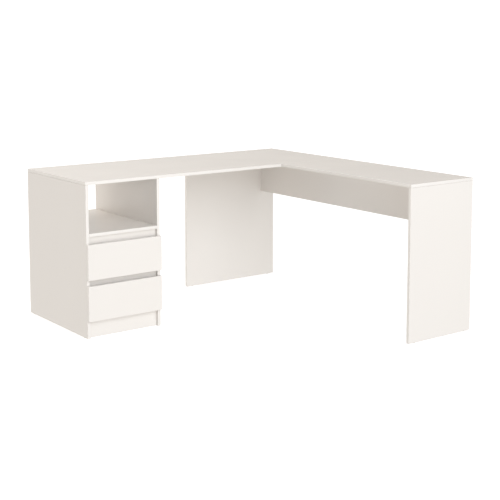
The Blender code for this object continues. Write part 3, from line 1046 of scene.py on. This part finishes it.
class NodeTree(Graph):
    """A Geometry Nodes tree with named inputs, which are set by their identifiers."""

    def __init__(self, name, inputs):
        super().__init__(bpy.data.node_groups.new(name, "GeometryNodeTree"))
        face = self.tree.interface
        face.new_socket("Geometry", in_out="OUTPUT", socket_type="NodeSocketGeometry")
        face.new_socket("Geometry", in_out="INPUT", socket_type="NodeSocketGeometry")
        for label, kind in inputs:
            face.new_socket(label, in_out="INPUT", socket_type=f"NodeSocket{kind}")
        self.given = self.tree.nodes.new("NodeGroupInput")
        self.result = self.tree.nodes.new("NodeGroupOutput")

    def input(self, label):
        return Value(self.tree, self.given.outputs[label])

    def finish_with(self, geometry, material):
        """End the tree: real geometry, smooth, with its material."""
        real = self.node("GeometryNodeRealizeInstances", sockets={"Geometry": geometry})
        smooth = self.node("GeometryNodeSetShadeSmooth", sockets={"Geometry": real})
        done = self.node("GeometryNodeSetMaterial", sockets={"Geometry": smooth, "Material": material})
        feed(self.tree, self.result.inputs[0], done)

    def run(self, name, starts, attributes, values):
        """The mesh that the tree makes from a cloud of points with attributes."""
        base = bpy.data.meshes.new(f"{name}_points")
        base.from_pydata([tuple(point) for point in starts], [], [])
        for label, kind, items in attributes:
            attribute = base.attributes.new(label, kind, "POINT")
            for place, item in enumerate(items):
                if kind == "FLOAT_VECTOR":
                    attribute.data[place].vector = item
                else:
                    attribute.data[place].value = item
        holder = add_object(f"{name}_base", base)
        modifier = holder.modifiers.new("nodes", "NODES")
        modifier.node_group = self.tree
        for item in self.tree.interface.items_tree:
            if item.in_out == "INPUT" and item.name in values:
                modifier[item.identifier] = values[item.name]
        mesh = baked(holder)
        holder.modifiers.clear()
        bpy.data.objects.remove(holder)
        mesh.name = name
        for label, *_ in attributes:
            if label in mesh.attributes:
                mesh.attributes.remove(mesh.attributes[label])
        mesh.materials.clear()
        mesh.materials.append(values["Finish"])
        mesh.polygons.foreach_set("material_index", [0] * len(mesh.polygons))
        return mesh


def ball_tree():
    """Each point of the base starts one row of balls along +Y."""
    sizes = (("Balls in a row", "Int"), ("Pitch", "Float"), ("Ball radius", "Float"))
    tree = NodeTree("ball_rows", (*sizes, ("Finish", "Material")))
    step = tree.node("ShaderNodeCombineXYZ", sockets={"Y": tree.input("Pitch")})
    line = tree.node("GeometryNodeMeshLine", sockets={"Count": tree.input("Balls in a row"), "Offset": step})
    sockets = {"Segments": 10, "Rings": 6, "Radius": tree.input("Ball radius")}
    ball = tree.node("GeometryNodeMeshUVSphere", sockets=sockets)
    row = tree.node("GeometryNodeInstanceOnPoints", sockets={"Points": line, "Instance": ball})
    sockets = {"Points": tree.input("Geometry"), "Instance": row}
    rows = tree.node("GeometryNodeInstanceOnPoints", sockets=sockets)
    tree.finish_with(rows, tree.input("Finish"))
    return tree


def build_ball_rows():
    size = bpy.context.scene.desk_sizes
    tree = ball_tree()
    values = {
        "Balls in a row": size.balls,
        "Pitch": size.ball_pitch,
        "Ball radius": size.ball_radius,
        "Finish": finish("ball_steel"),
    }
    for number in DRAWERS:
        starts = []
        for side in INWARD:
            place = SlidePlace(number, side)
            for depth, height, ways in BALL_TRACKS:
                starts += [place.point(depth, way, height * up) for way in ways for up in (-1, 1)]
        mesh = tree.run(f"drawer_{number}_slide_balls", starts, (), values)
        add_piece(mesh, f"drawer_{number}_telescope", smooth_below=60.0)


def screw_template():
    """A pan head with a driver cross, its seat at the origin."""
    bm = bmesh.new()
    add_turned(bm, PAN_HEAD, Matrix(), steps=20)
    mesh = carved(to_mesh("screw_head", bm, ["zinc_screw"]), cross_cutter(0.27, 0.10, -0.06, 0.30))
    return add_object("screw_head", mesh)


def screw_tree():
    """A screw on each point, turned to the point's facing and twisted by a seeded random angle."""
    tree = NodeTree("screw_field", (("Screw head", "Object"), ("Seed", "Int"), ("Finish", "Material")))
    sockets = {"Object": tree.input("Screw head")}
    head = tree.node("GeometryNodeObjectInfo", sockets=sockets, output="Geometry")
    named = "GeometryNodeInputNamedAttribute"
    facing = tree.node(named, {"data_type": "FLOAT_VECTOR"}, {"Name": "facing"})
    diameter = tree.node(named, {"data_type": "FLOAT"}, {"Name": "diameter"})
    aligned = tree.node("FunctionNodeAlignRotationToVector", {"axis": "Z"}, {"Vector": facing})
    sockets = {3: 2 * pi, "Seed": tree.input("Seed")}
    twist = tree.node("FunctionNodeRandomValue", {"data_type": "FLOAT"}, sockets, output=1)
    spin = tree.node("FunctionNodeAxisAngleToRotation", sockets={"Axis": (0.0, 0.0, 1.0), "Angle": twist})
    turned = tree.node("FunctionNodeRotateRotation", {"rotation_space": "LOCAL"}, {0: aligned, 1: spin})
    sockets = {"Points": tree.input("Geometry"), "Instance": head, "Rotation": turned, "Scale": diameter}
    tree.finish_with(tree.node("GeometryNodeInstanceOnPoints", sockets=sockets), tree.input("Finish"))
    return tree


def screw_places():
    """Every visible screw and nail: (seat, facing, head diameter), by body."""
    size = bpy.context.scene.desk_sizes
    places = {FRAME_BODY: []}
    for node in nodes_named("joining_plate"):
        for hole in plate_hole_places(node):
            places[FRAME_BODY].append((hole + Vector((0, 0, SEAT_LIFT)), (0, 0, -1), size.plate_screw))
    for number in DRAWERS:
        body = f"drawer_{number}"
        places[body] = []
        for side in INWARD:
            place = SlidePlace(number, side)
            inward, outward = (place.inward, 0, 0), (-place.inward, 0, 0)
            owners = {"cabinet_member": (FRAME_BODY, inward), "drawer_member": (body, outward)}
            for member, (owner, facing) in owners.items():
                for way in SCREW_WAYS[member]:
                    seat = place.point(WEB_FACE[member], way * MILLIMETRE, 0.0)
                    places[owner].append((seat, facing, size.slide_screw))
            low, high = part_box(f"drawer_{number}_{side}_side")
            x = (low.x if side == "left" else high.x) + place.inward * 0.0011
            for share in (0.16, 0.84):
                seat = Vector((x, high.y - REAR_INSET, low.z + share * (high.z - low.z)))
                places[body].append((seat, outward, size.box_screw))
        low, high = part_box(f"drawer_{number}_floor")
        for share in (0.12, 0.37, 0.63, 0.88):
            seat = Vector((low.x + share * (high.x - low.x), high.y - REAR_INSET, low.z + SEAT_LIFT))
            places[body].append((seat, (0, 0, -1), size.floor_nail))
    return places


def build_screws():
    template = screw_template()
    tree = screw_tree()
    for body, items in screw_places().items():
        seats, facings, diameters = zip(*items)
        attributes = (("facing", "FLOAT_VECTOR", facings), ("diameter", "FLOAT", diameters))
        values = {"Screw head": template, "Seed": SCREW_SEED, "Finish": finish("zinc_screw")}
        mesh = tree.run(f"{body}_screws", seats, attributes, values)
        add_piece(mesh, body)
    bpy.data.objects.remove(template)


# Stage

PLAIN = (1.00, 0.98, 0.95)
WARM = (1.00, 0.90, 0.80)
# Lobes of the room's light: the direction that each comes from, how narrow it is, its strength and tint.
ROOM_LIGHT = (
    ((0, 0, -1), 0.5, 0.4, PLAIN),
    ((0, 1, 1), 4, 1.7, PLAIN),
    ((0, 1, 2), 6, 1.2, WARM),
    ((0, 1, -1), 4, 1.5, PLAIN),
    ((0, -1, 0), 3, 1.4, PLAIN),
    ((0, -1, 1), 3, 0.5, PLAIN),
    ((-1, -1, 0), 3, 0.2, PLAIN),
    ((-3, 1, 0), 25, 1.8, WARM),
    ((-2, 2, 0), 25, 1.6, PLAIN),
)
KEY_TINT = (0.88, 0.93, 1.00)
KEY_PLACE = Vector((-0.8, -5.0, 3.3))
KEY_TARGET = Vector((0.0, 0.0, 0.4))
KEY_SIDE = 3.0
FLOOR_LEVEL = -0.0003


def build_world():
    """Soft light from the whole room: broad lobes, each fading away from its own direction."""
    world = bpy.data.worlds.new("studio_room")
    bpy.context.scene.world = world
    world.use_nodes = True
    room = Graph(world.node_tree)
    direction = room.node("ShaderNodeTexCoord", output="Generated")
    total = (0.0, 0.0, 0.0)
    for towards, breadth, strength, tint in ROOM_LIGHT:
        sockets = {0: direction, 1: Vector(towards).normalized()}
        facing = room.node("ShaderNodeVectorMath", {"operation": "DOT_PRODUCT"}, sockets, output="Value")
        lobe = facing.join("POWER", facing.join("MAXIMUM", facing, 0.0), breadth)
        sockets = {0: lobe, 1: [strength * channel for channel in tint], 2: total}
        total = room.node("ShaderNodeVectorMath", {"operation": "MULTIPLY_ADD"}, sockets)
    feed(room.tree, room.tree.nodes["Background"].inputs["Color"], total)


def build_key_light(power):
    """One large square light above and in front of the desk."""
    light = bpy.data.lights.new("key_light", "AREA")
    light.shape = "SQUARE"
    light.size = KEY_SIDE
    light.energy = power
    light.color = KEY_TINT
    lamp = add_object("key_light", light)
    lamp.location = KEY_PLACE
    lamp.rotation_euler = (KEY_TARGET - KEY_PLACE).to_track_quat("-Z", "Y").to_euler()


def build_camera(stage):
    """A long lens that looks a little down, with its frame shifted."""
    data = bpy.data.cameras.new("camera")
    data.sensor_width = 36.0
    data.lens = stage.lens
    data.shift_y = stage.shift
    data.clip_end = 200.0
    camera = add_object("camera", data)
    camera.location = stage.eye
    camera.rotation_euler = (pi / 2 - stage.pitch, 0.0, -stage.yaw)
    bpy.context.scene.camera = camera


def add_stage_piece(name, bm, item):
    """A surface that the camera sees behind the desk; the desk itself is lit by the room alone."""
    piece = add_object(name, to_mesh(name, bm, [item]))
    piece.visible_diffuse = False
    piece.visible_glossy = False
    piece.visible_shadow = False


def build_stage():
    """Pale floor, soft light and the camera."""
    scene = bpy.context.scene
    stage = scene.desk_stage
    half = stage.floor / 2
    bm = bmesh.new()
    level = Matrix.Translation((0, 0, FLOOR_LEVEL))
    bmesh.ops.create_grid(bm, x_segments=1, y_segments=1, size=half, matrix=level)
    add_stage_piece("studio_floor", bm, "studio_floor_paper")
    bm = bmesh.new()
    bmesh.ops.create_uvsphere(bm, u_segments=48, v_segments=24, radius=0.9 * half)
    bmesh.ops.reverse_faces(bm, faces=bm.faces)
    add_stage_piece("studio_backdrop", bm, "backdrop_paper")
    build_world()
    build_key_light(stage.key)
    build_camera(stage)
    scene.view_settings.view_transform = "Standard"
    scene.view_settings.look = "None"


# Operators and panel


class DESK_OT_boards(bpy.types.Operator):
    """Build the boards of the desk and the drawer fronts, with their edge bands"""

    bl_idname = "desk.boards"
    bl_label = "Banded boards"

    def execute(self, context):
        for node, (thickness, sides) in BOARDS.items():
            build_board(node, thickness, sides, FRAME_BODY)
        for number in DRAWERS:
            build_board(f"drawer_{number}_front", "y", "-x +x -z +z", f"drawer_{number}")
        return {"FINISHED"}


class DESK_OT_drawer_boxes(bpy.types.Operator):
    """Build the drawer boxes behind the fronts"""

    bl_idname = "desk.drawer_boxes"
    bl_label = "Drawer boxes"

    def execute(self, context):
        for number in DRAWERS:
            build_drawer_box(number)
        return {"FINISHED"}


class DESK_OT_slides(bpy.types.Operator):
    """Build the telescopic slides with their cages, levers and bumpers"""

    bl_idname = "desk.slides"
    bl_label = "Drawer slides"

    def execute(self, context):
        build_slides()
        return {"FINISHED"}


class DESK_OT_ball_rows(bpy.types.Operator):
    """Fill the slides' tracks with rows of balls"""

    bl_idname = "desk.ball_rows"
    bl_label = "Ball rows"

    def execute(self, context):
        build_ball_rows()
        return {"FINISHED"}


class DESK_OT_cams(bpy.types.Operator):
    """Build the cam fasteners and their cover caps"""

    bl_idname = "desk.cams"
    bl_label = "Cams and caps"

    def execute(self, context):
        build_cams()
        return {"FINISHED"}


class DESK_OT_joining_plates(bpy.types.Operator):
    """Build the steel plates that join the two tops"""

    bl_idname = "desk.joining_plates"
    bl_label = "Joining plates"

    def execute(self, context):
        build_joining_plates()
        return {"FINISHED"}


class DESK_OT_screws(bpy.types.Operator):
    """Place every screw and nail head"""

    bl_idname = "desk.screws"
    bl_label = "Screws and nails"

    def execute(self, context):
        build_screws()
        return {"FINISHED"}


class DESK_OT_glides(bpy.types.Operator):
    """Build the nailed glides under the panels"""

    bl_idname = "desk.glides"
    bl_label = "Glides"

    def execute(self, context):
        build_glides()
        return {"FINISHED"}


class DESK_OT_stage(bpy.types.Operator):
    """Set up the floor, the light and the camera"""

    bl_idname = "desk.stage"
    bl_label = "Stage"

    def execute(self, context):
        build_stage()
        return {"FINISHED"}


OPERATORS = (
    DESK_OT_boards,
    DESK_OT_drawer_boxes,
    DESK_OT_slides,
    DESK_OT_ball_rows,
    DESK_OT_cams,
    DESK_OT_joining_plates,
    DESK_OT_screws,
    DESK_OT_glides,
    DESK_OT_stage,
)


class DESK_PT_build(bpy.types.Panel):
    """Lists the desk's pieces"""

    bl_idname = "DESK_PT_build"
    bl_label = "Corner desk"
    bl_space_type = "VIEW_3D"
    bl_region_type = "UI"
    bl_category = "Desk"

    def draw(self, context):
        for operator in OPERATORS:
            self.layout.operator(operator.bl_idname)
        for group in (context.scene.desk_sizes, context.scene.desk_colours, context.scene.desk_stage):
            box = self.layout.box()
            for name in group.__annotations__:
                box.prop(group, name)


GROUPS = {"desk_sizes": DeskSizes, "desk_colours": DeskColours, "desk_stage": DeskStage}


def register():
    for item in (*GROUPS.values(), *OPERATORS, DESK_PT_build):
        bpy.utils.register_class(item)
    for name, group in GROUPS.items():
        setattr(bpy.types.Scene, name, PointerProperty(type=group))


def unregister():
    for name in GROUPS:
        delattr(bpy.types.Scene, name)
    for item in reversed((*GROUPS.values(), *OPERATORS, DESK_PT_build)):
        bpy.utils.unregister_class(item)


def main():
    """Build everything in order."""
    register()
    for operator in OPERATORS:
        group, name = operator.bl_idname.split(".")
        getattr(getattr(bpy.ops, group), name)()


if __name__ == "__main__":
    main()
